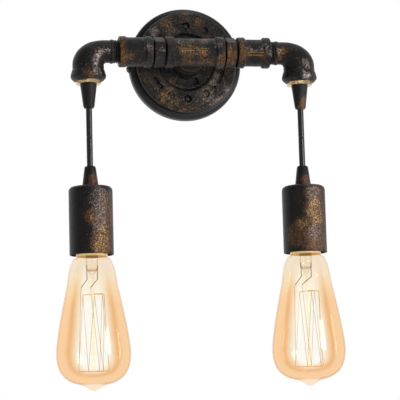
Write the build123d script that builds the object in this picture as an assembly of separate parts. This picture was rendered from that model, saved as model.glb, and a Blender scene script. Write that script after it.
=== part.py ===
from build123d import *
import os
from math import cos, pi, radians, sin

# Industrial pipe wall light: a cast flange on a round wall canopy carries a tee, and on each
# side a nipple, a coupling and a street elbow, from which a lampholder hangs on a short cord.
# Millimetres. The wall is the plane Y = 0, the light stands out towards -Y, X runs along the
# pipe arm and Z is up. The origin is the centre of the canopy's open back, on the wall.

# ---- driving dimensions -------------------------------------------------------------------
stand_off = 58.0            # wall to the centre line of the arm
half_span = 96.0            # tee centre to the line that each lampholder hangs on

thread_radius = 10.48       # half-inch pipe thread, plain here
thread_gap = 0.03           # radial play of a thread in its socket
thread_entry = 12.0         # how far a thread is screwed in
pipe_bore_radius = 7.5

canopy_radius = 52.4
canopy_depth = 11.0
canopy_wall = 1.2
canopy_shoulder = 5.4       # rounding between rim and front

flange_radius = 47.0
flange_thickness = 7.0
flange_well_radius = 26.0
flange_well_depth = 2.6
flange_hub_radius = 14.5
flange_hub_front = 28.4     # distance of the hub's mouth from the wall
flange_pitch_radius = 34.2  # circle of slots, plugs and screws

tee_reach = 26.5            # tee centre to each of its faces
tee_body_radius = 12.5
tee_band_radius = 14.1
tee_band_length = 7.4
tee_branch_radius = 12.1    # body of the branch, a little slimmer than the run

nipple_flats = 24.1
nipple_hex_length = 9.1
nipple_gap = 1.5            # bare thread on each side of the hexagon

coupling_length = 30.0
coupling_body_radii = {-1: 13.0, 1: 12.2}   # the left one is cast a little fuller
coupling_band_radius = 14.0
coupling_band_length = 6.4

elbow_arm_radius = 10.2     # slim male arm
elbow_body_radius = 14.0    # full body above the band
elbow_inner_corner = 2.4    # radius of the inside corner
elbow_arm_end = 22.2        # elbow centre to the start of the bare thread
elbow_face = 26.6           # elbow centre to the female face
elbow_band_top = 17.6
elbow_band_radius = 15.9

bush_flats = 21.0
bush_drop = 3.2             # height of the hexagon under the elbow

gland_thread_radius = 5.0   # M10 stub of each cord grip
upper_grip_length = 21.5
upper_grip_radii = (7.4, 4.75)
lower_grip_length = 18.0
lower_grip_radii = (4.95, 7.2)

cord_radius = 2.75
cord_length = 52.2          # free cord between the two grips
cord_play = 0.1             # radial play of the cord in a grip

cup_radius = 19.4
cup_length = 60.6
cup_wall = 1.2
cup_shoulder = 4.2

shell_inner_radius = 13.4   # screw shell, E27
shell_wall = 0.45
cap_radius = 13.1           # bulb cap, E27
cap_wall = 0.4
cap_height = 24.0
contact_height = 28.2       # top of the bulb's contact above the cup's rim

bulb_radius = 32.5
bulb_length = 118.0         # cup rim to the tip of the glass
glass_wall = 0.8

# ---- places worked out from them -------------------------------------------------------------
arm_y = -stand_off
flange_back = canopy_depth
flange_front = canopy_depth + flange_thickness
nipple_start = tee_reach
coupling_start = nipple_start + nipple_hex_length + 2 * nipple_gap
coupling_end = coupling_start + coupling_length
socket_radius = thread_radius + thread_gap
elbow_thread_end = half_span - coupling_end + thread_entry
bush_bottom = -elbow_face - bush_drop
upper_mouth = bush_bottom - upper_grip_length
lower_mouth = upper_mouth - cord_length
cup_top = lower_mouth - lower_grip_length
cup_rim = cup_top - cup_length
bulb_tip = cup_rim - bulb_length
sides = {"left": -1, "right": 1}


# ---- general forms ---------------------------------------------------------------------------
def turned(outline, place=(0, 0, 0), direction=(0, 0, 1)):
    """A turned solid. outline is (radius, height) pairs round the section, heights along direction."""
    section = Plane.XZ * make_face(Polyline(*outline, close=True))
    return Plane(origin=place, z_dir=direction) * revolve(section, Axis.Z)


def turned_curve(edges, place=(0, 0, 0), direction=(0, 0, 1)):
    """A turned solid whose section is a closed loop of edges, x as radius and y as height."""
    return Plane(origin=place, z_dir=direction) * revolve(Plane.XZ * make_face(edges), Axis.Z)


def rod(radius, length, place=(0, 0, 0), direction=(0, 0, 1)):
    """A round bar that starts at place and runs along direction."""
    return Plane(origin=place, z_dir=direction) * extrude(Circle(radius), length)


def hexagon(flats, height, place, direction, corner_cut=0.9, turn=0):
    """A hexagon bar with its corners turned off at both ends, as on a nut."""
    corner = flats / 3 ** 0.5
    bar = extrude(Rot(0, 0, turn) * RegularPolygon(flats / 2, 6, major_radius=False), height)
    cone = [(0, 0), (corner - corner_cut, 0), (corner, corner_cut * 0.6),
            (corner, height - corner_cut * 0.6), (corner - corner_cut, height), (0, height)]
    return Plane(origin=place, z_dir=direction) * (bar & turned(cone))


def banded_end(body_radius, band_radius, band_length, place, direction):
    """The raised band round a fitting's mouth. place is on the face, direction points out of it."""
    slope = (band_radius - body_radius) * 0.6
    outline = [(0, -band_length - slope), (body_radius, -band_length - slope),
               (band_radius - 0.3, -band_length), (band_radius, -band_length + 0.5),
               (band_radius, -0.9), (band_radius - 0.9, 0), (0, 0)]
    return turned(outline, place, direction)


# ---- wall side ---------------------------------------------------------------------------------
bracket_thickness = 1.6
bracket_half_width = 9.0
bracket_centre_hole = 16.5    # radius of the large hole that the feed cables pass
bracket_ear_depth = 7.0
bracket_slot_pitch = 60.0     # distance between the middles of the wall screw slots
bracket_slot_length = 14.0
bracket_slot_radius = 2.4
side_screw_offset = 4.2       # the rim screws sit this far below and above the middle
side_screw_depth = 4.4        # distance of the rim screws from the wall
side_screw_radius = 2.0
ear_clearance = 0.6
ear_outside = ((canopy_radius - canopy_wall) ** 2 - bracket_half_width ** 2) ** 0.5 - ear_clearance


def make_wall_bracket():
    """A flat strap that widens to a ring in the middle, with an ear bent forward at each end."""
    flat = Rectangle(2 * ear_outside, 2 * bracket_half_width) + Circle(bracket_centre_hole + 5.0)
    flat -= Circle(bracket_centre_hole) + Pos(earth_x, earth_z) * Circle(earth_screw_radius)
    for side in sides.values():
        flat -= Pos(side * bracket_slot_pitch / 2, 0) * SlotOverall(bracket_slot_length, 2 * bracket_slot_radius)
    body = Rot(90, 0, 0) * extrude(flat, bracket_thickness)
    ear_depth = bracket_ear_depth - bracket_thickness / 2
    ear = Box(bracket_thickness, ear_depth, 2 * bracket_half_width - 2)
    for side in sides.values():
        ear_x = ear_outside - bracket_thickness / 2 - 0.2
        body += Pos(side * ear_x, ear_depth / 2 - bracket_ear_depth, 0) * ear
        start = (side * (ear_outside - 3 * bracket_thickness), -side_screw_depth, side * side_screw_offset)
        body -= rod(side_screw_radius, 6 * bracket_thickness, start, (side, 0, 0))
    return body


earth_screw_radius = 1.95
earth_x = 0.0
earth_z = -(bracket_centre_hole + 2.5)


def screw_with_dome(head_radius, head_height, shank_radius, shank_length, place, direction, slot_width):
    """A domed screw. place is under the head and direction points from shank to head."""
    dome = (head_radius ** 2 + head_height ** 2) / (2 * head_height)
    cap = Pos(0, 0, head_height - dome) * Sphere(dome)
    cap &= Pos(0, 0, head_height / 2) * Cylinder(head_radius, head_height)
    cross = Box(slot_width, head_radius * 1.1, head_height) + Box(head_radius * 1.1, slot_width, head_height)
    cap -= Pos(0, 0, head_height * 1.05) * cross
    return Plane(origin=place, z_dir=direction) * (cap + Pos(0, 0, -shank_length / 2) * Cylinder(shank_radius, shank_length))


def make_earth_screw():
    place = (earth_x, -bracket_thickness, earth_z)
    return screw_with_dome(3.4, 1.8, earth_screw_radius, bracket_thickness, place, (0, -1, 0), 0.9)


def make_canopy():
    outer, wall, depth, turn = canopy_radius, canopy_wall, canopy_depth, canopy_shoulder
    centre = depth - turn
    hole = thread_radius + 0.3
    middle = sin(radians(45))
    edges = [
        Line((outer - wall, 0), (outer, 0)),
        Line((outer, 0), (outer, centre)),
        ThreePointArc((outer, centre), (outer - turn + turn * middle, centre + turn * middle),
                      (outer - turn, depth)),
        Line((outer - turn, depth), (hole, depth)),
        Line((hole, depth), (hole, depth - wall)),
        Line((hole, depth - wall), (outer - turn, depth - wall)),
        ThreePointArc((outer - turn, depth - wall),
                      (outer - turn + (turn - wall) * middle, centre + (turn - wall) * middle),
                      (outer - wall, centre)),
        Line((outer - wall, centre), (outer - wall, 0)),
    ]
    dish = turned_curve(edges, (0, 0, 0), (0, -1, 0))
    for side in sides.values():
        start = (side * (outer - 4 * wall), -side_screw_depth, side * side_screw_offset)
        dish -= rod(side_screw_radius + 0.2, 8 * wall, start, (side, 0, 0))
        dish -= rod(flange_screw_radius + 0.2, 3 * wall, (0, -depth + 2 * wall, side * flange_pitch_radius), (0, -1, 0))
    return dish


def make_canopy_side_screws():
    seat = canopy_radius + 0.02
    screws = []
    for side in sides.values():
        place = (side * seat, -side_screw_depth, side * side_screw_offset)
        screws.append(screw_with_dome(4.0, 2.3, side_screw_radius - 0.02, 6.0, place, (side, 0, 0), 0.9))
    return Compound(children=screws)


# ---- cast flange -------------------------------------------------------------------------------
flange_screw_radius = 1.95
flange_screw_head = 3.0
flange_screw_pocket = 3.3     # radius of the sunk hole round the head
flange_screw_sink = 3.4       # how far under the flange's face the head is seated
slot_angle = 6.0              # the first slot's middle, anticlockwise from the top
slot_half_sweep = 8.0
slot_half_width = 1.95
slot_depth = 2.6
plug_angle = 30.0
plug_radius = 3.6
plug_depth = 1.1
pit_angles = (132.5, 210.3, 315.0)
pit_radius = 1.2
pit_depth = 1.8
pocket_inner = 15.4
pocket_outer = 22.6
pocket_half_angle = 33.0
pocket_depth = 2.9
floor_depth = flange_front - flange_well_depth


def round_the_flange(clockwise_angle, radius):
    """A point on the flange, by its angle clockwise from the top as seen from the room."""
    angle = radians(clockwise_angle)
    return radius * sin(angle), radius * cos(angle)


def sunk(shape, depth, front):
    """A cutter that sinks a flat shape, drawn in X and Z, to depth under the distance front."""
    cutter = extrude(shape, depth + 5)
    return Pos(0, -front + depth, 0) * Rot(90, 0, 0) * cutter


def make_flange():
    back, front = flange_back, flange_front
    well, floor = flange_well_radius, floor_depth
    hub, mouth = flange_hub_radius, flange_hub_front
    outline = [(0, back), (flange_radius - 1.2, back), (flange_radius - 0.4, back + 1.4),
               (flange_radius, back + 1.8), (flange_radius, front - 2.4), (flange_radius - 0.7, front - 0.8),
               (flange_radius - 2.4, front), (well + 1.3, front), (well + 0.3, front - 0.7), (well - 0.6, floor),
               (hub + 1.6, floor), (hub + 0.4, floor + 0.7), (hub, floor + 2.0), (hub - 0.8, mouth - 1.0),
               (hub - 1.6, mouth), (0, mouth)]
    body = turned(outline, (0, 0, 0), (0, -1, 0))
    body -= rod(socket_radius, 2 * mouth, (0, 0, 0), (0, -1, 0))
    for turn in (0, 120, 240):
        corners = [round_the_flange(180 + turn + angle, radius)
                   for angle, radius in ((-pocket_half_angle, pocket_inner + 1.5), (0, pocket_inner),
                                         (pocket_half_angle, pocket_inner + 1.5),
                                         (pocket_half_angle * 0.92, pocket_outer + 0.9),
                                         (0, pocket_outer - 0.6), (-pocket_half_angle * 0.92, pocket_outer + 0.9))]
        body -= sunk(make_face(Polyline(*corners, close=True)), pocket_depth, floor)
        middle = 90 - (turn - slot_angle)
        arc = CenterArc((0, 0), flange_pitch_radius, middle - slot_half_sweep, 2 * slot_half_sweep)
        body -= sunk(SlotArc(arc, 2 * slot_half_width), slot_depth, front)
        plug = Pos(*round_the_flange(plug_angle + turn, flange_pitch_radius)) * Circle(plug_radius)
        body -= sunk(plug, plug_depth, front)
    for angle in pit_angles:
        pit = Pos(*round_the_flange(angle, flange_pitch_radius)) * Circle(pit_radius)
        body -= sunk(pit, pit_depth, front)
    for side in sides.values():
        height = side * flange_pitch_radius
        body -= sunk(Pos(0, height) * Circle(flange_screw_pocket), flange_screw_sink, front)
        body -= rod(flange_screw_radius + 0.1, 2 * flange_thickness, (0, -back + 3, height), (0, -1, 0))
    return body


def make_flange_screws():
    seat = flange_front - flange_screw_sink
    length = seat - canopy_depth + canopy_wall + 3.6
    return Compound(children=[
        screw_with_dome(flange_screw_head, 1.7, flange_screw_radius, length,
                        (0, -seat, side * flange_pitch_radius), (0, -1, 0), 0.85)
        for side in sides.values()])


def make_flange_nuts():
    nuts = []
    for side in sides.values():
        place = (0, -canopy_depth + canopy_wall, side * flange_pitch_radius)
        nut = hexagon(7.0, 3.0, place, (0, 1, 0), 0.5)
        nuts.append(nut - rod(flange_screw_radius + 0.02, 12, (0, 0, place[2]), (0, -1, 0)))
    return Compound(children=nuts)


# ---- fittings of the arm ---------------------------------------------------------------------
lock_washer_radius = 15.5
lock_washer_thickness = 0.9
lock_nut_flats = 27.0
lock_nut_thickness = 4.6
wall_nipple_back = 3.2


def make_wall_nipple():
    front = stand_off - tee_reach + thread_entry
    pipe = rod(thread_radius, front - wall_nipple_back, (0, -wall_nipple_back, 0), (0, -1, 0))
    return pipe - rod(pipe_bore_radius, 3 * front, (0, front, 0), (0, -1, 0))


def make_lock_washer():
    place = (0, -canopy_depth + canopy_wall, 0)
    washer = rod(lock_washer_radius, lock_washer_thickness, place, (0, 1, 0))
    return washer - rod(socket_radius, 2 * canopy_depth, (0, 0, 0), (0, -1, 0))


def make_lock_nut():
    place = (0, -canopy_depth + canopy_wall + lock_washer_thickness, 0)
    nut = hexagon(lock_nut_flats, lock_nut_thickness, place, (0, 1, 0), 1.2)
    return nut - rod(socket_radius, 2 * canopy_depth, (0, 0, 0), (0, -1, 0))


def make_tee():
    centre = (0, arm_y, 0)
    faces = [(-1, 0, 0), (1, 0, 0), (0, 1, 0)]
    body = rod(tee_body_radius, 2 * tee_reach - 2, (-tee_reach + 1, arm_y, 0), (1, 0, 0))
    body += rod(tee_branch_radius, tee_reach - 1, centre, (0, 1, 0))
    for face in faces:
        mouth = tuple(c + tee_reach * f for c, f in zip(centre, face))
        neck = tee_body_radius if face[0] else tee_branch_radius
        body += banded_end(neck, tee_band_radius, tee_band_length, mouth, face)
    for face in faces:
        mouth = tuple(c + tee_reach * f for c, f in zip(centre, face))
        inward = tuple(-f for f in face)
        body -= rod(socket_radius, thread_entry + 1, mouth, inward)
        body -= rod(pipe_bore_radius + (0.6 if face[0] else 0.3), tee_reach, mouth, inward)
    return body


def make_hex_nipple(side):
    start = nipple_start - thread_entry
    length = coupling_start + thread_entry - start
    along = (side, 0, 0)
    pipe = rod(thread_radius, length, (side * start, arm_y, 0), along)
    pipe += hexagon(nipple_flats, nipple_hex_length, (side * (nipple_start + nipple_gap), arm_y, 0), along, 1.0, 0)
    return pipe - rod(pipe_bore_radius, 2 * length, (0, arm_y, 0), along)


def make_coupling(side):
    along, back = (side, 0, 0), (-side, 0, 0)
    start, end = (side * coupling_start, arm_y, 0), (side * coupling_end, arm_y, 0)
    radius = coupling_body_radii[side]
    body = rod(radius, coupling_length - 2, (side * (coupling_start + 1), arm_y, 0), along)
    body += banded_end(radius, coupling_band_radius, coupling_band_length, start, back)
    body += banded_end(radius, coupling_band_radius, coupling_band_length, end, along)
    return body - rod(socket_radius, 2 * coupling_length, (side * (coupling_start - 5), arm_y, 0), along)


# ---- street elbow ------------------------------------------------------------------------------
elbow_sections = 5


def elbow_bend():
    """The tapering bend, swung round a pivot beside the inside corner, arm towards +X, mouth down."""
    first = elbow_arm_radius + elbow_inner_corner
    last = elbow_body_radius + elbow_inner_corner
    rings = []
    for step in range(elbow_sections):
        share = step / (elbow_sections - 1)
        turn = radians(90 * share)
        ease = share * share * (3 - 2 * share)
        reach = first + (last - first) * ease
        centre = (last - reach * sin(turn), 0, reach * cos(turn) - first)
        ring = Plane(origin=centre, x_dir=(0, 1, 0), z_dir=(-cos(turn), 0, -sin(turn)))
        rings.append(ring * Circle(elbow_arm_radius + (elbow_body_radius - elbow_arm_radius) * ease))
    return loft(rings), last, first


def elbow_bore():
    """The passage through the elbow: straight, a quarter turn, straight."""
    bend = 12.0
    path = Line((elbow_thread_end + 1, 0), (bend, 0))
    path += ThreePointArc((bend, 0), (bend - bend * sin(pi / 4), bend * cos(pi / 4) - bend), (0, -bend))
    path += Line((0, -bend), (0, -elbow_face - 1))
    start = Plane(origin=(elbow_thread_end + 1, 0, 0), z_dir=(-1, 0, 0))
    return sweep(start * Circle(pipe_bore_radius), Plane.XZ * path)


def make_street_elbow(side):
    body, arm_start, drop = elbow_bend()
    collar = elbow_arm_radius + 0.75
    arm = [(0, arm_start - 0.01), (elbow_arm_radius, arm_start - 0.01), (elbow_arm_radius, elbow_arm_end - 2.4),
           (collar, elbow_arm_end - 1.7), (collar, elbow_arm_end - 0.5), (collar - 0.4, elbow_arm_end),
           (thread_radius - 0.5, elbow_arm_end), (thread_radius - 0.5, elbow_arm_end + 1.0),
           (thread_radius, elbow_arm_end + 1.5), (thread_radius, elbow_thread_end - 0.8),
           (thread_radius - 0.8, elbow_thread_end), (0, elbow_thread_end)]
    body += turned(arm, (0, 0, 0), (1, 0, 0))
    radius, band = elbow_body_radius, elbow_band_radius
    foot = [(0, -drop + 0.01), (radius, -drop + 0.01), (radius, -elbow_band_top + 0.6),
            (radius + 0.6, -elbow_band_top), (band - 0.4, -elbow_band_top - 3.4), (band, -elbow_band_top - 4.6),
            (band - 0.2, -elbow_band_top - 6.4), (band - 2.3, -elbow_face), (0, -elbow_face)]
    body += turned(foot)
    body -= elbow_bore()
    body -= rod(socket_radius, thread_entry, (0, 0, -elbow_face), (0, 0, 1))
    return Pos(side * half_span, arm_y, 0) * Rot(0, 0, 90 + 90 * side) * body


def make_brass_bush(side):
    centre = (side * half_span, arm_y, 0)
    hexagon_part = hexagon(bush_flats, bush_drop, (centre[0], arm_y, bush_bottom), (0, 0, 1), 1.0, 30)
    body = hexagon_part + rod(thread_radius, thread_entry - 2, (centre[0], arm_y, -elbow_face), (0, 0, 1))
    return body - rod(gland_thread_radius + 0.02, 40, (centre[0], arm_y, bush_bottom - 1), (0, 0, 1))


# ---- cord and its grips ------------------------------------------------------------------------
upper_stub = 9.0              # thread of the upper grip in its bush
lower_stub = 7.4              # thread of the lower grip through the cup's top


def make_upper_grip(side):
    top, mouth = upper_grip_radii
    outline = [(0, bush_bottom), (top, bush_bottom), (top, bush_bottom - 0.6), (mouth + 0.25, upper_mouth + 1.6),
               (mouth - 0.5, upper_mouth), (0, upper_mouth)]
    place = (side * half_span, arm_y, 0)
    body = turned(outline, place) + rod(gland_thread_radius, upper_stub, (place[0], arm_y, bush_bottom), (0, 0, 1))
    return body - rod(cord_radius + cord_play, 60, (place[0], arm_y, upper_mouth - 10), (0, 0, 1))


def make_lower_grip(side):
    mouth, foot = lower_grip_radii
    outline = [(0, lower_mouth), (mouth - 0.5, lower_mouth), (mouth + 0.15, lower_mouth - 1.4),
               (foot, cup_top + 0.6), (foot, cup_top), (0, cup_top)]
    place = (side * half_span, arm_y, 0)
    body = turned(outline, place) + rod(gland_thread_radius, lower_stub, (place[0], arm_y, cup_top), (0, 0, -1))
    return body - rod(cord_radius + cord_play, 60, (place[0], arm_y, lower_mouth + 10), (0, 0, -1))


def make_cord(side):
    return rod(cord_radius, cord_length, (side * half_span, arm_y, upper_mouth), (0, 0, -1))


feed_bends = [11.0, 7.0]      # radii of a feed cable's bends, in the elbow and in the tee
feed_end_y = -0.6             # the feed cables leave the wall nipple and end just short of the wall
feed_gap = 0.4                # between the two cables in the wall nipple


def make_feed_cable(side):
    """The cable inside the pipe, from behind the wall nipple to the upper cord grip's mouth."""
    beside = side * (cord_radius + feed_gap / 2)
    route = [(side * half_span, arm_y, upper_mouth), (side * half_span, arm_y, 0),
             (beside, arm_y, 0), (beside, feed_end_y, 0)]
    path = FilletPolyline(*route, radius=feed_bends)
    start = Plane(origin=route[0], z_dir=(0, 0, 1))
    return sweep(start * Circle(cord_radius), path)


def make_pendant_cable(side):
    length = lower_mouth - terminal_top
    return rod(cord_radius, length, (side * half_span, arm_y, lower_mouth), (0, 0, -1))


# ---- lampholder --------------------------------------------------------------------------------
insulator_radius = 17.7
insulator_bottom = cup_rim + 4.0
insulator_top = cup_top - cup_wall
nut_pocket_radius = 9.0
nut_pocket_depth = 7.0
holder_nut_flats = 14.0
holder_nut_height = 4.0
shell_height = 26.0           # screw shell above the insulator's mouth
terminal_top = insulator_top - nut_pocket_depth
contact_clear = 0.5           # air between the spring contact and the bulb


def make_holder_cup(side):
    outer, wall, turn = cup_radius, cup_wall, cup_shoulder
    inner, middle = outer - wall, sin(radians(45))
    corner = cup_top - turn
    hole = gland_thread_radius + 0.15
    edges = [
        Line((inner, cup_rim), (outer - 0.3, cup_rim)),
        Line((outer - 0.3, cup_rim), (outer, cup_rim + 0.4)),
        Line((outer, cup_rim + 0.4), (outer, corner)),
        ThreePointArc((outer, corner), (outer - turn + turn * middle, corner + turn * middle), (outer - turn, cup_top)),
        Line((outer - turn, cup_top), (hole, cup_top)),
        Line((hole, cup_top), (hole, cup_top - wall)),
        Line((hole, cup_top - wall), (outer - turn, cup_top - wall)),
        ThreePointArc((outer - turn, cup_top - wall),
                      (outer - turn + (turn - wall) * middle, corner + (turn - wall) * middle), (inner, corner)),
        Line((inner, corner), (inner, cup_rim)),
    ]
    return turned_curve(edges, (side * half_span, arm_y, 0))


def make_holder_nut(side):
    place = (side * half_span, arm_y, insulator_top - nut_pocket_depth + 0.6)
    nut = hexagon(holder_nut_flats, holder_nut_height, place, (0, 0, 1), 0.8)
    return nut - rod(gland_thread_radius + 0.02, 20, (place[0], arm_y, place[2] - 5), (0, 0, 1))


def make_socket_insulator(side):
    radius, bottom, top = insulator_radius, insulator_bottom, insulator_top
    bore = shell_inner_radius + shell_wall + 0.1
    roof = bottom + shell_height + 1.5
    outline = [(bore, bottom), (radius - 1.0, bottom), (radius, bottom + 1.0), (radius, top - 5.0),
               (radius - 4.4, top - 0.2), (nut_pocket_radius, top - 0.2), (nut_pocket_radius, top - nut_pocket_depth),
               (0, top - nut_pocket_depth), (0, roof), (bore, roof)]
    body = turned(outline, (side * half_span, arm_y, 0))
    for hand in (-1, 1):
        place = (side * half_span + hand * terminal_spread, arm_y, roof - 5)
        body -= rod(terminal_radius + 0.05, terminal_top - roof + 10, place, (0, 0, 1))
    return body


terminal_spread = 5.4
terminal_radius = 1.6


def make_socket_terminals(side):
    roof = insulator_bottom + shell_height + 1.5
    return Compound(children=[
        rod(terminal_radius, terminal_top - roof - 0.4,
            (side * half_span + hand * terminal_spread, arm_y, roof + 0.2), (0, 0, 1))
        for hand in (-1, 1)])


def make_screw_shell(side):
    inner, outer = shell_inner_radius, shell_inner_radius + shell_wall
    bottom = insulator_bottom + 0.6
    top = insulator_bottom + shell_height
    outline = [(inner, bottom), (outer, bottom), (outer, top), (outer - 4.0, top), (outer - 4.0, top - shell_wall),
               (inner, top - shell_wall)]
    return turned(outline, (side * half_span, arm_y, 0))


def make_centre_contact(side):
    """A bent brass strip that springs down on to the bulb's contact."""
    low = cup_rim + contact_height + contact_clear
    high = insulator_bottom + shell_height + 1.4
    strip = [(-6.5, high), (-6.5, high - 0.5), (-2.5, low), (2.5, low), (3.4, low + 0.9), (3.0, low + 1.3),
             (2.2, low + 0.5), (-2.3, low + 0.5), (-5.9, high)]
    face = Plane.XZ * make_face(Polyline(*strip, close=True))
    return Pos(side * half_span, arm_y + 2.5, 0) * extrude(face, 5.0)


# ---- bulb --------------------------------------------------------------------------------------
# Places on the glass are given by their distance under the cup's rim and their radius. A short
# arc flares out under the cap, the flank is a curve down to the widest place, the dome under it is
# a second curve (drops below the widest place), and the sealed tip is a broad blunt cone.
neck_top = 19.0               # top of the glass inside the cap, above the rim
neck_radius = 12.2
neck_bottom = -3.6            # the straight neck ends this far over the rim
skirt_drop = 1.2              # the cap's edge shows this far under the rim
skirt_radius = 13.8
flare = [(1.3, 13.2), (3.77, 16.56), (7.5, 18.4)]
flank = [(7.5, 18.4), (27.1, 22.5), (46.7, 26.6), (66.3, 30.25), (85.9, bulb_radius)]
flank_slope = 0.22            # widening of the flank at its top
dome = [(0.0, bulb_radius), (6.2, 32.1), (12.3, 30.6), (17.9, 27.7), (22.1, 23.3), (25.0, 17.9), (26.7, 12.0)]
tip_outline = [(9.3, 4.6), (6.7, 3.3), (3.9, 1.5), (1.6, 0.3), (0.0, 0.0)]   # radius and height above the tip


def glass_outline(inset):
    """The bulb's section, moved in by inset, as a closed loop of edges with the axis."""
    top = cup_rim + neck_top
    throat = [(radius - inset, cup_rim - drop) for drop, radius in flare]
    places = [(radius - inset, cup_rim - drop) for drop, radius in flank]
    widest_z = places[-1][1]
    rounding = [places[-1]]
    for index, (drop, radius) in enumerate(dome[1:], start=1):
        before, after = dome[index - 1], dome[min(index + 1, len(dome) - 1)]
        down, out = after[0] - before[0], after[1] - before[1]
        size = (down ** 2 + out ** 2) ** 0.5
        rounding.append((radius - inset * down / size, widest_z - drop - inset * out / size))
    end = rounding[-1]
    if inset:
        below = [end, (0, end[1])]
    else:
        below = [end] + [(radius, bulb_tip + height) for radius, height in tip_outline]
    neck = (neck_radius - inset, cup_rim - neck_bottom)
    edges = [Line((0, top), (neck[0], top)), Line((neck[0], top), neck), Line(neck, throat[0]),
             ThreePointArc(*throat), Spline(*places, tangents=[(flank_slope, -1), (0, -1)]),
             Spline(*rounding, tangents=[(0, -1), (-1, -0.2)])]
    edges += [Line(start, finish) for start, finish in zip(below, below[1:])]
    return edges + [Line(below[-1], (0, top))]


def make_bulb_glass(side):
    place = (side * half_span, arm_y, 0)
    return turned_curve(glass_outline(0), place) - turned_curve(glass_outline(glass_wall), place)


def make_bulb_cap(side):
    wall = cap_wall
    skirt = skirt_radius
    outline = [(skirt - wall, cup_rim - skirt_drop), (skirt, cup_rim - skirt_drop), (skirt, cup_rim + 1.0),
               (cap_radius, cup_rim + 3.4), (cap_radius, cup_rim + cap_height - 1.5),
               (cap_radius - 1.6, cup_rim + cap_height), (cap_radius - 4.0, cup_rim + cap_height),
               (cap_radius - 4.0, cup_rim + cap_height - wall), (cap_radius - 1.6 - wall, cup_rim + cap_height - wall),
               (cap_radius - wall, cup_rim + cap_height - 1.8), (cap_radius - wall, cup_rim + 3.3),
               (skirt - wall, cup_rim + 0.9)]
    return turned(outline, (side * half_span, arm_y, 0))


def make_bulb_insulator(side):
    low, high = cup_rim + cap_height, cup_rim + contact_height - 1.0
    outline = [(0, low), (cap_radius - 2.4, low), (cap_radius - 2.8, low + 0.8), (5.6, high), (0, high)]
    return turned(outline, (side * half_span, arm_y, 0))


def make_bulb_contact(side):
    low, high = cup_rim + contact_height - 1.0, cup_rim + contact_height
    outline = [(0, low), (5.0, low), (4.6, low + 0.6), (2.6, high), (0, high)]
    return turned(outline, (side * half_span, arm_y, 0))


stem_radius = 5.2
stem_bottom = 14.0            # the glass stem ends this far under the rim
post_radius = 1.5
post_bottom = 101.9           # the thin glass post ends here
upper_row = (34.0, 10.8)      # the upper hooks' distance under the rim, and their ring's radius
lower_row = (101.0, 13.3)
lead_row = (29.0, 10.8)       # the ends of the two lead wires, which hold the first and last strand
bend_count = 5                # lower hooks; the strands run down to each and up again
first_angle = {-1: 255.0, 1: 234.0}   # where the first lead ends, by side, in degrees
lead_spread = 4.6             # the leads leave the stem this far from its axis
lead_bend = 21.0              # and bend this far under the rim
strand_radius = 0.22
wire_radius = 0.3


def make_bulb_stem(side):
    """Flare sealed in the neck, flattened press and a thin post that carries the hooks."""
    top = cup_rim + neck_top
    outline = [(0, top), (neck_radius - glass_wall - 0.1, top), (neck_radius - glass_wall - 0.1, top - 1.2),
               (stem_radius + 1.5, top - 5.0), (stem_radius, top - 10.0), (stem_radius, cup_rim - stem_bottom + 2),
               (stem_radius - 1.6, cup_rim - stem_bottom), (post_radius, cup_rim - stem_bottom - 3.0),
               (post_radius, cup_rim - post_bottom + 1.0), (post_radius - 0.8, cup_rim - post_bottom),
               (0, cup_rim - post_bottom)]
    stem = turned(outline)
    for hand in (-1, 1):
        stem -= rod(wire_radius + 0.03, 20, (hand * lead_spread, 0, cup_rim - stem_bottom + 6), (0, 0, -1))
    return Pos(side * half_span, arm_y, 0) * stem


def ring_place(row, angle):
    """A point on a ring about the bulb's axis. row is its drop under the rim and its radius."""
    drop, radius = row
    return Vector(radius * cos(radians(angle)), radius * sin(radians(angle)), cup_rim - drop)


def strand_ends(side):
    """The points that the filament passes, in order: down to a lower hook and up again."""
    step = 360 / (bend_count + 1)
    points = []
    for number in range(bend_count + 1):
        angle = first_angle[side] + number * step
        points.append(ring_place(upper_row if 0 < number < bend_count else lead_row, angle))
        if number < bend_count:
            points.append(ring_place(lower_row, angle + step / 2))
    return points


def wire(start, end, radius):
    """A straight piece of wire between two points."""
    return Plane(origin=start, z_dir=end - start) * extrude(Circle(radius), (end - start).length)


def make_bulb_filament(side):
    """The cage: one filament that zigzags between the lead wires and the two rings of hooks."""
    points = strand_ends(side)
    cage = wire(points[0], points[1], strand_radius)
    for start, end in zip(points[1:], points[2:]):
        cage += wire(start, end, strand_radius)
    return Pos(side * half_span, arm_y, 0) * cage


def make_bulb_supports(side):
    """Hooks that reach from the post to the strands' ends, and the two lead wires."""
    points = strand_ends(side)
    wires = []
    for end in points[1:-1]:
        outward = Vector(end.X, end.Y, 0).normalized()
        foot = outward * (post_radius + 0.02) + Vector(0, 0, end.Z)
        wires.append(wire(foot, end - outward * (strand_radius + 0.1), wire_radius))
    for end, hand in ((points[0], 1), (points[-1], -1)):
        top = Vector(hand * lead_spread, 0, cup_rim - stem_bottom + 5)
        knee = Vector(hand * lead_spread, 0, cup_rim - lead_bend)
        stop = end + (knee - end).normalized() * (strand_radius + 0.25)
        wires.append(wire(top, knee, wire_radius) + wire(knee, stop, wire_radius) + Pos(*knee) * Sphere(wire_radius))
    return Pos(side * half_span, arm_y, 0) * Compound(children=wires)


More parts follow.
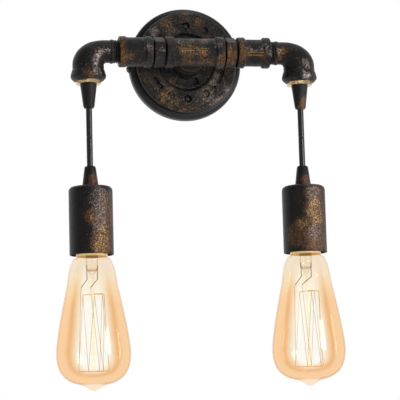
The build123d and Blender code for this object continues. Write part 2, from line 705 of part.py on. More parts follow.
# ---- writing the pieces ------------------------------------------------------------------------
single_pieces = {
    "wall_bracket": make_wall_bracket,
    "earth_screw": make_earth_screw,
    "canopy": make_canopy,
    "canopy_side_screws": make_canopy_side_screws,
    "flange": make_flange,
    "flange_screws": make_flange_screws,
    "flange_nuts": make_flange_nuts,
    "wall_nipple": make_wall_nipple,
    "lock_washer": make_lock_washer,
    "lock_nut": make_lock_nut,
    "tee": make_tee,
}
side_pieces = {
    "hex_nipple": make_hex_nipple,
    "coupling": make_coupling,
    "street_elbow": make_street_elbow,
    "brass_bush": make_brass_bush,
    "upper_cord_grip": make_upper_grip,
    "feed_cable": make_feed_cable,
    "cord": make_cord,
    "lower_cord_grip": make_lower_grip,
    "pendant_cable": make_pendant_cable,
    "holder_cup": make_holder_cup,
    "holder_nut": make_holder_nut,
    "socket_insulator": make_socket_insulator,
    "socket_terminals": make_socket_terminals,
    "screw_shell": make_screw_shell,
    "centre_contact": make_centre_contact,
    "bulb_cap": make_bulb_cap,
    "bulb_insulator": make_bulb_insulator,
    "bulb_contact": make_bulb_contact,
    "bulb_glass": make_bulb_glass,
    "bulb_stem": make_bulb_stem,
    "bulb_supports": make_bulb_supports,
    "bulb_filament": make_bulb_filament,
}

os.makedirs("parts", exist_ok=True)
pieces = {name: make() for name, make in single_pieces.items()}
for name, make in side_pieces.items():
    for side_name, side in sides.items():
        pieces[f"{name}_{side_name}"] = make(side)
for name, piece in pieces.items():
    export_step(piece, f"parts/{name}.step")
print("feed cable bends, radii", feed_bends, "mm, cable", 2 * cord_radius, "mm thick")
print(len(pieces), "pieces, cup rim at", round(cup_rim, 1), "bulb tip at", round(bulb_tip, 1))
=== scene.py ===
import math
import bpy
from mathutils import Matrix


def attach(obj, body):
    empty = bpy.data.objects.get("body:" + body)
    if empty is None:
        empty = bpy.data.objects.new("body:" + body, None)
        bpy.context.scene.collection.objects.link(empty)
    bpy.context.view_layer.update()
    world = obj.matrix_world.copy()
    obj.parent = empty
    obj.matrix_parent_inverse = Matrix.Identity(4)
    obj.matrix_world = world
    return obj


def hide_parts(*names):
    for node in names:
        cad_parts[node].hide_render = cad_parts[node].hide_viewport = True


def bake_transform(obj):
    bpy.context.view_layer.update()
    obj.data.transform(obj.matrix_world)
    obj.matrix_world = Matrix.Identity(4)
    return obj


bl_info = {
    "name": "Industrial pipe wall light",
    "version": (1, 0, 0),
    "blender": (4, 5, 0),
    "location": "3D View > Sidebar > Pipe light",
    "description": "Cast iron fittings, brass bushes, cords, lampholders and amber bulbs on the packed frame",
    "category": "Object",
}

import bmesh
import bpy
import numpy as np
from bpy.props import FloatProperty, FloatVectorProperty, PointerProperty
from mathutils import Matrix, Vector, noise

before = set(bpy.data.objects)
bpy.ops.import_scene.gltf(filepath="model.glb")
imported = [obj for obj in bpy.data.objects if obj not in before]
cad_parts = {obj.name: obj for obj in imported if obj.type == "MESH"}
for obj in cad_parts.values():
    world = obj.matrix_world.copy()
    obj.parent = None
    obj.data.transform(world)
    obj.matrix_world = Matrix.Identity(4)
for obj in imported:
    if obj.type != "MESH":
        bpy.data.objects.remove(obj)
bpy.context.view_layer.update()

MM = 0.001
SIDES = {"left": -1, "right": 1}
ARM_Y = -58.0 * MM          # centre line of the arm
SPAN = 96.0 * MM            # tee to the line that each lampholder hangs on
UPPER_MOUTH = -51.3         # height in mm where the cord leaves the upper grip
CORD_MIDDLE = -77.4         # where its two halves meet
LOWER_MOUTH = -103.5        # where it enters the lower grip
CORD_TOP, CORD_BOTTOM = -44.0, -111.0   # its hidden ends inside the grips
CORD_RADIUS = 2.75
CUP_RIM = -182.1 * MM
COUPLING_RADII = {"left": 13.0, "right": 12.2}
BULB_RADIUS, GLASS_WALL = 32.5, 0.8
# the glass's drop under the cup's rim and its radius there
BULB_OUTLINE = ((-19.0, 11.7), (-11.3, 11.7), (-3.6, 11.9), (1.3, 13.2), (3.77, 16.56), (7.5, 18.4),
                (27.1, 22.5), (46.7, 26.6), (66.3, 30.25), (85.9, 32.5), (92.1, 32.1), (98.2, 30.6),
                (103.8, 27.7), (108.0, 23.3), (110.9, 17.9), (112.6, 12.0), (113.4, 9.3), (114.7, 6.7),
                (116.5, 3.9), (117.7, 1.6), (118.0, 0.05))
BULB_WIDEST = 9             # the widest place's number in that outline
CAP_RADIUS, CAP_THREAD = 13.1, (4.0, 21.5)
FLANGE_PITCH = 34.2         # radius of the circle of the flange's plugs
PLUG_RADIUS, PLUG_DEPTH = 3.5, 0.9
FLANGE_FRONT = -19.5        # the flange's front parts lie nearer the wall than this, in mm
THREAD_PITCH, THREAD_DEPTH = 1.814, 1.0
PIPE_THREAD_RADIUS, PIPE_BORE = 10.48, 7.5


# ---- shader maths ----
class Value:
    """A node socket that Python's own arithmetic works on. Each operator adds its Math node."""

    def __init__(self, shader, socket):
        self.shader, self.socket = shader, socket

    def math(self, operation, *values, clamp=False):
        sockets = dict(enumerate(values))
        return self.shader.node("ShaderNodeMath", {"operation": operation, "use_clamp": clamp}, sockets)

    def __add__(self, other):
        return self.math("ADD", self, other)

    def __sub__(self, other):
        return self.math("SUBTRACT", self, other)

    def __mul__(self, other):
        return self.math("MULTIPLY", self, other)

    def __truediv__(self, other):
        return self.math("DIVIDE", self, other)

    def __pow__(self, other):
        return self.math("POWER", self, other)

    def __rsub__(self, other):
        return self.math("SUBTRACT", other, self)

    __radd__ = __add__
    __rmul__ = __mul__

    def larger(self, other):
        return self.math("MAXIMUM", self, other)

    def size(self):
        return self.math("ABSOLUTE", self)

    def clamp(self):
        return self.math("ADD", self, 0.0, clamp=True)

    def step(self, low, high):
        """0 below low, 1 above high and an even slope between."""
        return self.shader.node("ShaderNodeMapRange", {"clamp": True},
                                {"Value": self, "From Min": low, "From Max": high})


class Shader:
    """One material's node tree."""

    def __init__(self, name, thing=None):
        self.material = thing or bpy.data.materials.new(name)
        self.material.use_nodes = True
        self.tree = self.material.node_tree
        self.tree.nodes.clear()

    def node(self, kind, settings=None, sockets=None, out=0):
        """Adds a node of that kind: its settings first, then the values or links of its sockets."""
        made = self.tree.nodes.new(kind)
        for name, value in (settings or {}).items():
            setattr(made, name, value)
        for name, value in (sockets or {}).items():
            socket = made.inputs[name]
            if isinstance(value, Value):
                self.tree.links.new(value.socket, socket)
            elif socket.type == "RGBA" and len(value) == 3:
                socket.default_value = (*value, 1.0)
            else:
                socket.default_value = value
        return Value(self, made.outputs[out]) if made.outputs else made

    def place(self):
        """Where on the object, in metres, in the row frame."""
        return self.node("ShaderNodeTexCoord", out="Object")

    def along(self, axis):
        """One coordinate of that place."""
        return self.node("ShaderNodeSeparateXYZ", None, {"Vector": self.place()}, out=axis)

    def noise(self, size, detail=4.0, rough=0.6, stretch=None, distortion=0.0):
        """Noise whose lumps are about size metres across, from 0 to 1."""
        where = self.place()
        if stretch:
            where = self.node("ShaderNodeVectorMath", {"operation": "MULTIPLY"}, {0: where, 1: stretch})
        return self.node("ShaderNodeTexNoise", None, {"Vector": where, "Scale": 1.0 / size, "Detail": detail,
                                                       "Roughness": rough, "Distortion": distortion})

    def near(self, spots):
        """1 at the middle of each spot (x, y, z, radius in mm), fading to 0 at a ragged rim."""
        where = self.node("ShaderNodeVectorMath", {"operation": "MULTIPLY_ADD"},
                          {0: self.ragged_shift(), 1: (9.0 * MM,) * 3, 2: self.place()})
        mask = None
        for x, y, z, radius in spots:
            away = self.node("ShaderNodeVectorMath", {"operation": "DISTANCE"},
                             {0: where, 1: ((x + 4.5) * MM, (y + 4.5) * MM, (z + 4.5) * MM)}, out="Value")
            spot = (1.0 - away / (radius * 1.35 * MM)).clamp()
            mask = spot if mask is None else mask.larger(spot)
        return mask

    def ragged_shift(self):
        """A slowly wandering vector about (0.5, 0.5, 0.5)."""
        sockets = {"Vector": self.place(), "Scale": 1.0 / (7.0 * MM), "Detail": 3.0, "Roughness": 0.65}
        return self.node("ShaderNodeTexNoise", None, sockets, out="Color")

    def mix(self, share, first, second):
        """first where share is 0 and second where it is 1, for colours."""
        return self.node("ShaderNodeMix", {"data_type": "RGBA"}, {0: share, 6: first, 7: second}, out=2)

    def bump(self, height, depth):
        """A normal bent by height, whose full range stands for depth metres."""
        return self.node("ShaderNodeBump", None, {"Height": height, "Distance": depth})

    def see_through(self, colour):
        """A clear shader that tints what is behind it."""
        return self.node("ShaderNodeBsdfTransparent", None, {"Color": colour})

    def blend(self, share, first, second):
        """first where share is 0 and second where it is 1, for shaders."""
        return self.node("ShaderNodeMixShader", None, {0: share, 1: first, 2: second})

    def rays(self):
        """Whether a ray comes from the camera, off a mirror or through glass."""
        return [self.node("ShaderNodeLightPath", out=f"Is {ray} Ray") for ray in ("Camera", "Glossy", "Transmission")]

    def surface(self, **sockets):
        """Ends the tree with a Principled shader."""
        names = {key: key.replace("_", " ").title().replace("Ior", "IOR") for key in sockets}
        shader = self.node("ShaderNodeBsdfPrincipled", None, {names[key]: value for key, value in sockets.items()})
        self.end(shader)
        return self.material

    def end(self, shader):
        self.node("ShaderNodeOutputMaterial", None, {"Surface": shader})


# ---- meshes ----
def new_object(name, mesh, material, smooth=True):
    thing = bpy.data.objects.new(name, mesh)
    bpy.context.scene.collection.objects.link(thing)
    mesh.materials.clear()
    mesh.materials.append(material)
    mesh.polygons.foreach_set("use_smooth", [smooth] * len(mesh.polygons))
    mesh.polygons.foreach_set("material_index", [0] * len(mesh.polygons))
    return thing


def mesh_of(name, points, faces):
    mesh = bpy.data.meshes.new(name)
    mesh.from_pydata([tuple(point) for point in points], [], faces)
    mesh.update()
    return mesh


def ring_faces(rings, around, closed_along=False):
    """Quads between rings of around points each, and between the last and the first if closed_along."""
    faces = []
    for row in range(rings if closed_along else rings - 1):
        above = (row + 1) % rings
        for column in range(around):
            beside = (column + 1) % around
            corners = (row, column), (row, beside), (above, beside), (above, column)
            faces.append(tuple(ring * around + place for ring, place in corners))
    return faces


def axes(direction):
    """Two unit vectors square to direction and to each other, and direction itself."""
    along = Vector(direction).normalized()
    first = along.orthogonal().normalized()
    return first, along.cross(first), along


def turned_tube(name, outline, place, direction, around=96, twist=None):
    """A closed turned mesh. outline is a loop of (radius, height) in mm.

    twist(radius, height, turn) may give a point another radius."""
    first, second, along = axes(direction)
    points = []
    for radius, height in outline:
        for column in range(around):
            turn = 2 * math.pi * column / around
            r = twist(radius, height, turn) if twist else radius
            points.append(Vector(place) + (first * math.cos(turn) + second * math.sin(turn)) * r * MM
                          + along * height * MM)
    mesh = mesh_of(name, points, ring_faces(len(outline), around, True))
    return facing_out(mesh)


def facing_out(mesh):
    """Turns the faces of a closed mesh outwards."""
    work = bmesh.new()
    work.from_mesh(mesh)
    bmesh.ops.recalc_face_normals(work, faces=work.faces)
    work.to_mesh(mesh)
    work.free()
    return mesh


def curve_through(points, upright=None, steps=9):
    """A smooth curve through points, straight up and down at the one whose number is upright."""
    points = [np.array(point, float) for point in points]
    gaps = [float(np.linalg.norm(b - a)) for a, b in zip(points, points[1:])]
    slopes = [(b - a) / gap for a, b, gap in zip(points, points[1:], gaps)]
    leans = [slopes[0]]
    for before, after, short, long in zip(slopes, slopes[1:], gaps, gaps[1:]):
        leans.append((before * long + after * short) / (short + long))
    leans.append(slopes[-1])
    if upright is not None:
        leans[upright] = np.array((0.0, -1.0))
    curve = []
    for start, end, lean, lean_end, gap in zip(points, points[1:], leans, leans[1:], gaps):
        for step in range(steps):
            t = step / steps
            curve.append(tuple((2 * t ** 3 - 3 * t ** 2 + 1) * start + (t ** 3 - 2 * t ** 2 + t) * gap * lean
                               + (3 * t ** 2 - 2 * t ** 3) * end + (t ** 3 - t ** 2) * gap * lean_end))
    return curve + [tuple(points[-1])]


def outward(curve):
    """The unit vectors that stand square on a curve of (radius, height), away from the axis."""
    along = np.gradient(np.array(curve), axis=0)
    along /= np.linalg.norm(along, axis=1)[:, None]
    return [(-rise, run) for run, rise in along]


def thread_shape(start, end, pitch=THREAD_PITCH, depth=THREAD_DEPTH):
    """A twist for turned_tube: a screw thread under the outer radius, running out at start and end."""
    def twist(radius, height, turn):
        phase = (height / pitch - turn / (2 * math.pi)) % 1.0
        tooth = abs(phase * 2 - 1)
        ends = min(1.0, max(0.0, (height - start) / pitch), max(0.0, (end - height) / pitch))
        return radius - depth * (1.0 - min(1.0, tooth * 1.25)) * ends if radius > 9.0 or pitch > 3 else radius
    return twist


def threaded_pipe(name, length, place, direction, material, radius=PIPE_THREAD_RADIUS, bore=PIPE_BORE):
    """A pipe with a cut thread from end to end."""
    steps = max(8, int(length / THREAD_PITCH * 10))
    outline = [(bore, 0.0), (radius - THREAD_DEPTH, 0.0)]
    outline += [(radius, length * step / steps) for step in range(1, steps)]
    outline += [(radius - THREAD_DEPTH, length), (bore, length)]
    mesh = turned_tube(name, outline, place, direction, 96, thread_shape(0.0, length))
    return new_object(name, mesh, material)


def lumpiness(point, size, seed):
    """Smooth noise about -1 to 1 at a point in metres, with lumps of size mm."""
    return noise.noise(Vector(point) / (size * MM) + Vector((seed, seed * 1.7, seed * 0.3)))


def cast(name, nodes, material, voxel=0.5, rounding=3, lumps=(0.12, 4.0), grain=(0.05, 1.1), extra=(), seed=1.0,
         sunk=()):
    """A casting: the shapes of the CAD nodes melted into one skin with rounded edges and a sand-cast surface.

    voxel is the skin's mesh size in mm, rounding how far its edges are softened, lumps and grain the
    depth and size of its unevenness in mm, extra holds meshes of ribs and seams to melt in, and sunk
    lists discs (x, z, radius, depth in mm) of its front face that are pressed in."""
    work = bmesh.new()
    for node in nodes:
        work.from_mesh(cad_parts[node].data)
    for mesh in extra:
        work.from_mesh(mesh)
    bmesh.ops.remove_doubles(work, verts=work.verts, dist=1e-6)
    mesh = bpy.data.meshes.new(name)
    work.to_mesh(mesh)
    work.free()
    thing = new_object(name, mesh, material)
    skin = thing.modifiers.new("skin", "REMESH")
    skin.mode, skin.voxel_size, skin.adaptivity = "VOXEL", voxel * MM, 0.0
    soft = thing.modifiers.new("soft", "SMOOTH")
    soft.factor, soft.iterations = 0.5, rounding
    applied = bpy.data.meshes.new_from_object(thing.evaluated_get(bpy.context.evaluated_depsgraph_get()))
    thing.modifiers.clear()
    thing.data = applied
    count = len(applied.vertices)
    place = np.zeros(count * 3)
    out = np.zeros(count * 3)
    applied.vertices.foreach_get("co", place)
    applied.vertex_normals.foreach_get("vector", out)
    place, out = place.reshape(-1, 3), out.reshape(-1, 3)
    rise = np.array([lumps[0] * (lumpiness(p, lumps[1], seed) - 0.2) + grain[0] * lumpiness(p, grain[1], seed + 7)
                     for p in place]) * MM
    place += out * rise[:, None]
    for x, z, radius, depth in sunk:
        away = np.hypot(place[:, 0] - x * MM, place[:, 2] - z * MM) / MM
        front = (out[:, 1] < -0.5) & (place[:, 1] > FLANGE_FRONT * MM)
        place[:, 1] += np.where(front, depth * MM * np.clip((radius - away) / 0.5, 0.0, 1.0), 0.0)
    applied.vertices.foreach_set("co", place.ravel())
    applied.polygons.foreach_set("use_smooth", [True] * len(applied.polygons))
    applied.update()
    for material_slot in range(len(applied.materials) - 1, 0, -1):
        applied.materials.pop(index=material_slot)
    return thing


def dress(node, material):
    """Gives a CAD node its finish."""
    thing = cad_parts[node]
    for number in range(max(1, len(thing.data.materials))):
        if thing.data.materials:
            thing.data.materials[number] = material
        else:
            thing.data.materials.append(material)
    return thing


def finish_piece(thing, body, slot, *nodes):
    """Every piece's last step: it rides on its body and stands for its nodes. The slot is not used."""
    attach(thing, body)
    if nodes:
        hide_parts(*nodes)
    return thing


# ---- finishes ----
def specks_round_spots(s, base, size, spots, colour, share):
    """Specks of a colour, dense round the spots (x, y, z, radius in mm) and thinning out towards their rims.

    Returns the new colour and where the specks are. share is how much of a spot's middle they cover."""
    specks = s.noise(size * MM, 3.0, 0.8)
    worn = s.near(spots)
    mask = (specks - (0.70 - worn.step(0.0, 0.55) * (0.10 + 0.22 * share))).step(-0.02, 0.10)
    faded = s.mix(s.noise(size * 2.3 * MM, 2.0, 0.7).step(0.35, 0.65), tuple(0.45 * c for c in colour), colour)
    return s.mix(mask, base, faded), mask


def aged_iron(name, copper=(), gold=(), pale=(), dark=(0.0042, 0.0042, 0.0045), warmth=0.5, speckle=1.0, edges=1.0,
              painted_shadow=(), glints=(), bare=(0.26, 0.205, 0.188)):
    """Charcoal cast metal under a worn bronze paint: dark, speckled brown and gold all over, pale on its
    edges as wear and as painted highlight, with painted shade darkening its creases, and with copper, gold and
    pale metal round the given spots (x, y, z, radius in mm), partly rubbed through and partly painted highlights.

    warmth is how brown the patches are, speckle how much of the surface the fine specks take, edges how
    strong the edge wear and painted edge highlight are, and bare the colour of the pale metal and of painted
    highlights. The spots of painted shadow stay black, and the glints are painted highlights:
    fine gold lines along x (height, half the width, from, to, in mm)."""
    s = Shader(name)
    patches = s.noise(11.0 * MM, 4.0, 0.6, distortion=0.8)
    tint = s.noise(5.0 * MM, 3.0, 0.6, distortion=0.5)
    fine = s.noise(1.45 * MM, 2.0, 0.8)
    pointed = s.node("ShaderNodeNewGeometry", out="Pointiness")
    base = s.mix(patches.step(0.43, 0.64) * warmth * 0.75, dark, tone("iron"))
    dust = s.noise(1.1 * MM, 2.0, 0.8)
    base = s.mix(dust.step(0.52, 0.66) * 0.5 * speckle, base, (0.040, 0.034, 0.033))
    speck_colour = s.mix(tint.step(0.46, 0.56), tone("gold"), tone("rubbed"))
    specks = (fine + patches * 0.12 * warmth).step(0.665 - 0.02 * speckle, 0.735) * min(1.0, speckle)
    base = s.mix(specks * 0.75, base, speck_colour)
    metal = specks * 0.4
    # the copper, gold and pale spots are partly worn paint and partly painted highlights where the light falls
    rubbed = (copper, tone("copper"), 0.58), (gold, tone("gold"), 0.36), (pale, bare, 0.62)
    for spots, colour, share in rubbed:
        if spots:
            base, mask = specks_round_spots(s, base, 1.5, spots, colour, share)
            metal = metal.larger(mask * 0.8)
    # painted shadow: these spots turn the metal black where shade falls in hollows and behind parts
    if painted_shadow:
        base = s.mix(s.near(painted_shadow).step(0.0, 0.45) * (1.0 - specks * 0.5) * 0.85, base, dark)
    # painted highlights: thin gold lines where the seam and the ribs catch the light
    for height, half, start, end in glints:
        x, z = s.along("X"), s.along("Z")
        line = (1.0 - (z - height * MM).size() / (half * MM)).clamp() * fine.step(0.36, 0.56)
        line = line * x.step(start * MM, (start + 3.0) * MM) * x.step(end * MM, (end - 3.0) * MM)
        base = s.mix(line.step(0.05, 0.6) * 0.7, base, (0.42, 0.26, 0.11))
    # convex edges get pale metal, partly as edge wear and partly as painted highlight where edges catch the light
    edge_wear_and_highlight = pointed.step(0.515, 0.575) * dust.step(0.38, 0.62) * edges
    base = s.mix(edge_wear_and_highlight * 0.6, base, tone("rubbed"))
    # painted shade: hollows and creases, where pointiness is low, are darkened towards black
    base = s.mix(pointed.step(0.495, 0.43) * 0.8, base, (0.003, 0.003, 0.0033))
    rough = 0.42 - metal * 0.08 + (fine - 0.5) * 0.3
    normal = s.bump(s.noise(2.2 * MM, 4.0, 0.75), 0.8 * MM)
    return s.surface(base_color=base, metallic=0.3 + metal.larger(edge_wear_and_highlight * 0.6) * 0.6, roughness=rough,
                     normal=normal, specular_ior_level=0.3)


def bronze_wear_and_highlights(name, painted_silver_highlight, copper, gold):
    """The lampholders' and grips' paint: black, with fine hammered glints, and specks from pale metal to copper round
    the given spots: painted highlights where the light falls on the cups, partly copper wear too, and wear on the
    grips.
    """
    s = Shader(name)
    tint = s.noise(9.0 * MM, 3.0, 0.6, distortion=0.6)
    specks = s.noise(1.0 * MM, 2.0, 0.8)
    base = s.mix(tint.step(0.4, 0.62), (0.0062, 0.0064, 0.0070), (0.012, 0.0092, 0.0078))
    glints = specks.step(0.58, 0.70)
    base = s.mix(glints * 0.35, base, (0.11, 0.075, 0.055))
    metal = glints * 0.3
    # on the cups these spots are painted highlights along the band where the light falls, partly copper wear; on the
    # grips they are wear
    for spots, colour, share in ((copper, (0.20, 0.100, 0.054), 0.72), (painted_silver_highlight, (0.34, 0.30, 0.285), 0.36),
                                 (gold, (0.62, 0.38, 0.15), 0.36)):
        if spots:
            base, mask = specks_round_spots(s, base, 1.0, spots, colour, share)
            metal = metal.larger(mask * 0.8)
    normal = s.bump(s.noise(1.3 * MM, 3.0, 0.8), 0.40 * MM)
    return s.surface(base_color=base, metallic=0.3 + metal * 0.6, roughness=0.40 + (specks - 0.5) * 0.25,
                     normal=normal, specular_ior_level=0.3)


def plain_metal(name, colour, rough=0.4, metal=1.0, grain=0.02, brushed=None, spots=(), spot_colour=None,
                second=None, painted_glow=0.0):
    """A sheet or turned metal with faint wear, and an optional painted glow in its own colour, though it is no lamp.
    """
    s = Shader(name)
    soft = s.noise(3.0 * MM, 4.0, 0.6, stretch=brushed)
    base = s.mix(soft.step(0.3, 0.75), colour, second or tuple(0.72 * c for c in colour))
    metallic = metal
    if spots:
        base, mask = specks_round_spots(s, base, 1.8, spots, spot_colour, 0.8)
        metallic = metal + mask * (0.85 - metal)
    normal = s.bump(s.noise(0.5 * MM, 3.0, 0.6, stretch=brushed), grain * MM)
    # painted light: the emission makes the metal glow faintly in its own colour
    return s.surface(base_color=base, metallic=metallic, roughness=rough + (soft - 0.5) * 0.18, normal=normal,
                     specular_ior_level=0.35, emission_color=base, emission_strength=painted_glow)


def amber_glass(name):
    """Tinted lamp glass: clear where it is seen square on, amber where the wall is seen at a slant,
    warmer above the strands and paler in the neck."""
    s = Shader(name)
    slant = s.node("ShaderNodeLayerWeight", None, {"Blend": 0.5}, out="Facing")
    uneven = (s.noise(16.0 * MM, 3.0, 0.5) - 0.5) * 0.07
    height = s.along("Z") + uneven * 0.1
    clear, deep, peach = (s.see_through(c) for c in ((1.0, 0.993, 0.972), tone("amber"), (0.988, 0.888, 0.768)))
    pale, warm, edge = (s.see_through(c) for c in ((0.975, 0.935, 0.885), (0.990, 0.948, 0.868),
                                                   (0.84, 0.71, 0.58)))
    gloss = s.node("ShaderNodeBsdfGlossy", None, {"Color": (1.0, 1.0, 1.0), "Roughness": 0.07})
    body = s.blend((slant + uneven).step(0.07, 0.25), clear, deep)
    body = s.blend((slant + uneven).step(0.27, 0.38), body, peach)
    body = s.blend(height.step(-226.0 * MM, -200.0 * MM) * 0.75, body, warm)
    body = s.blend(height.step(-208.0 * MM, -192.0 * MM) * 0.8, body, pale)
    body = s.blend(slant.step(0.74, 0.96), body, edge)
    s.end(s.blend(slant ** 5.0 * 0.10 + 0.012, body, gloss))
    return s.material


def clear_glass(name):
    """The bulb's stem, browned where its wires are sealed in, and the post below it, pale yellow."""
    s = Shader(name)
    slant = s.node("ShaderNodeLayerWeight", None, {"Blend": 0.5}, out="Facing")
    clear, edge = s.see_through((0.985, 0.97, 0.93)), s.see_through((0.62, 0.52, 0.38))
    seal, yellow = s.see_through((0.72, 0.52, 0.30)), s.see_through((0.998, 0.988, 0.89))
    gloss = s.node("ShaderNodeBsdfGlossy", None, {"Color": (1.0, 1.0, 1.0), "Roughness": 0.08})
    faint = s.noise(4.0 * MM, 2.0, 0.5) - 0.5
    height = s.along("Z")
    sealed = (1.0 - (height + faint * 1.5 * MM + 195.2 * MM).size() / (1.4 * MM)).clamp()
    body = s.blend((slant + faint * 0.1).step(0.45, 0.95), clear, edge)
    body = s.blend(height.step(-200.0 * MM, -203.0 * MM), body, yellow)
    body = s.blend(sealed * 0.7, body, seal)
    s.end(s.blend(slant ** 5.0 * 0.15 + 0.015, body, gloss))
    return s.material


def support_wire(name):
    """Molybdenum wire: dark where it leads in, orange-brown where the strands hang on it, where it also glows as
    painted light.
    """
    s = Shader(name)
    height = s.along("Z")
    soft = s.noise(1.5 * MM, 2.0, 0.5)
    base = s.mix(height.step(-209.0 * MM, -212.0 * MM), (0.055, 0.045, 0.036), (0.72, 0.42, 0.17))
    base = s.mix(soft.step(0.45, 0.6) * 0.25, base, (0.20, 0.13, 0.07))
    # painted glow: the wire where the strands hang glows orange, though it is no lamp
    glow = s.mix(height.step(-212.5 * MM, -214.5 * MM), (0.0, 0.0, 0.0), (0.80, 0.40, 0.12))
    return s.surface(base_color=base, roughness=0.45 + (soft - 0.5) * 0.1, emission_color=glow,
                     emission_strength=0.5)


def glowing(name, colour, strength):
    s = Shader(name)
    wave = s.noise(2.0 * MM, 2.0, 0.5)
    tone = s.mix(wave, colour, tuple(0.85 * c for c in colour))
    return s.surface(base_color=tone, roughness=0.5, emission_color=tone, emission_strength=strength)


# ---- sizes and colours that a user may change ----
class PipeLightColours(bpy.types.PropertyGroup):
    iron: FloatVectorProperty(name="Iron", description="Brown patches of the castings", subtype="COLOR",
                              min=0, max=1, default=(0.034, 0.025, 0.020))
    copper: FloatVectorProperty(name="Copper", description="Copper rubbed through the charcoal", subtype="COLOR",
                                min=0, max=1, default=(0.27, 0.118, 0.048))
    gold: FloatVectorProperty(name="Gold", description="Gold rubbed through the charcoal", subtype="COLOR",
                              min=0, max=1, default=(0.33, 0.205, 0.070))
    # also the colour of the painted highlights on the castings' edges
    rubbed: FloatVectorProperty(name="Bare metal", description="Pinkish bare metal in specks and on edges",
                                subtype="COLOR", min=0, max=1, default=(0.22, 0.182, 0.172))
    amber: FloatVectorProperty(name="Amber", description="What the slanted wall of the bulb lets through",
                               subtype="COLOR", min=0, max=1, default=(0.968, 0.835, 0.680))
    brass: FloatVectorProperty(name="Brass", description="The hexagon bushes", subtype="COLOR",
                               min=0, max=1, default=(0.80, 0.63, 0.36))


class PipeLightSizes(bpy.types.PropertyGroup):
    seam_height: FloatProperty(name="Parting line", description="How far the casting's seam stands proud",
                               default=0.35 * MM, min=0, max=2 * MM, unit="LENGTH", precision=5)
    floor_drop: FloatProperty(name="Floor", description="Height of the floor under the wall plane's origin",
                              default=-0.46, unit="LENGTH")


def tone(name):
    return tuple(getattr(bpy.context.scene.pipe_light_colours, name))


class PieceOperator(bpy.types.Operator):
    """What the operators have in common."""
    bl_options = {"REGISTER", "UNDO"}

    def execute(self, context):
        self.make(context.scene.pipe_light_sizes)
        return {"FINISHED"}


# ---- stage ----
class PIPELIGHT_OT_stage(PieceOperator):
    """Camera at the photograph's angle, soft studio lamps, pale floor and white surroundings"""
    bl_idname = "pipelight.stage"
    bl_label = "Stage"

    def make(self, sizes):
        scene = bpy.context.scene
        scene.view_settings.view_transform = "Standard"
        self.camera(scene)
        self.surroundings(scene)
        self.lamps(scene)
        self.floor(sizes)

    def camera(self, scene):
        place = Vector((-0.2587, -1.5186, -0.3251))
        yaw, pitch, roll, focal = 0.1763, 0.1283, -0.0278, 1683.1     # focal length in pixels of the 400 px frame
        ahead = Vector((math.sin(yaw) * math.cos(pitch), math.cos(yaw) * math.cos(pitch), math.sin(pitch)))
        right = Vector((math.cos(yaw), -math.sin(yaw), 0.0))
        up = right.cross(ahead)
        right, up = right * math.cos(roll) + up * math.sin(roll), up * math.cos(roll) - right * math.sin(roll)
        data = bpy.data.cameras.new("camera")
        data.sensor_width, data.lens = 36.0, focal * 36.0 / 400.0
        data.clip_start, data.clip_end = 0.05, 20.0
        camera = bpy.data.objects.new("camera", data)
        camera.matrix_world = Matrix.Translation(place) @ Matrix((right, up, -ahead)).transposed().to_4x4()
        scene.collection.objects.link(camera)
        scene.camera = camera

    def surroundings(self, scene):
        world = bpy.data.worlds.new("surroundings")
        scene.world = world
        s = Shader("surroundings", world)
        seen, mirror, through = s.rays()
        way = s.node("ShaderNodeTexCoord", out="Generated")
        behind = s.node("ShaderNodeSeparateXYZ", None, {"Vector": way}, out="Y")
        soft, room, white = (s.node("ShaderNodeBackground", None, {"Color": colour, "Strength": strength})
                             for colour, strength in (((1.0, 0.99, 0.975), 0.16), ((1.0, 1.0, 1.0), 0.12),
                                                      ((1.0, 1.0, 1.0), 1.0)))
        around = s.blend(mirror, soft, s.blend(behind.step(-0.10, 0.50), room, white))
        around = s.blend(seen.larger(through), around, white)
        s.node("ShaderNodeOutputWorld", None, {"Surface": around})

    def lamps(self, scene):
        for name, place, aim, width, height, power, colour in (
                ("key", (0.80, -1.10, -0.02), (0.0, -0.05, -0.10), 0.34, 0.50, 9.5, (1.0, 0.985, 0.96)),
                ("fill", (-0.95, -0.95, 0.35), (0.0, -0.05, -0.1), 0.5, 0.5, 1.4, (0.94, 0.975, 1.0)),
                ("top", (0.15, -0.35, 0.95), (0.0, -0.06, 0.0), 0.5, 0.3, 3.0, (1.0, 1.0, 1.0)),
                ("side", (1.05, -0.22, -0.18), (0.0, -0.06, -0.18), 0.12, 0.5, 2.0, (1.0, 1.0, 1.0)),
                ("low", (0.45, -0.75, -0.75), (0.0, -0.06, -0.05), 0.35, 0.35, 1.8, (1.0, 0.97, 0.93))):
            data = bpy.data.lights.new(name, "AREA")
            data.shape, data.size, data.size_y = "RECTANGLE", width, height
            data.energy, data.color = power, colour
            lamp = bpy.data.objects.new(name, data)
            lamp.location = place
            lamp.rotation_euler = (Vector(aim) - Vector(place)).to_track_quat("-Z", "Y").to_euler()
            scene.collection.objects.link(lamp)

    def floor(self, sizes):
        s = Shader("pale_floor")
        seen, mirror, through = s.rays()
        share = (seen * 0.35).larger(mirror.larger(through) * 0.9)
        cloudy = s.mix(s.noise(0.3, 3.0, 0.5), (0.86, 0.86, 0.855), (0.82, 0.82, 0.815))
        matt = s.node("ShaderNodeBsdfDiffuse", None, {"Color": cloudy})
        glow = s.node("ShaderNodeEmission", None, {"Color": (1.0, 1.0, 1.0), "Strength": 1.0})
        s.end(s.blend(share, matt, glow))
        half, top = 3.0, sizes.floor_drop
        corners = [(-half, -half, top), (half, -half, top), (half, half, top), (-half, half, top)]
        floor = new_object("floor", mesh_of("floor", corners, [(0, 1, 2, 3)]), s.material, smooth=False)
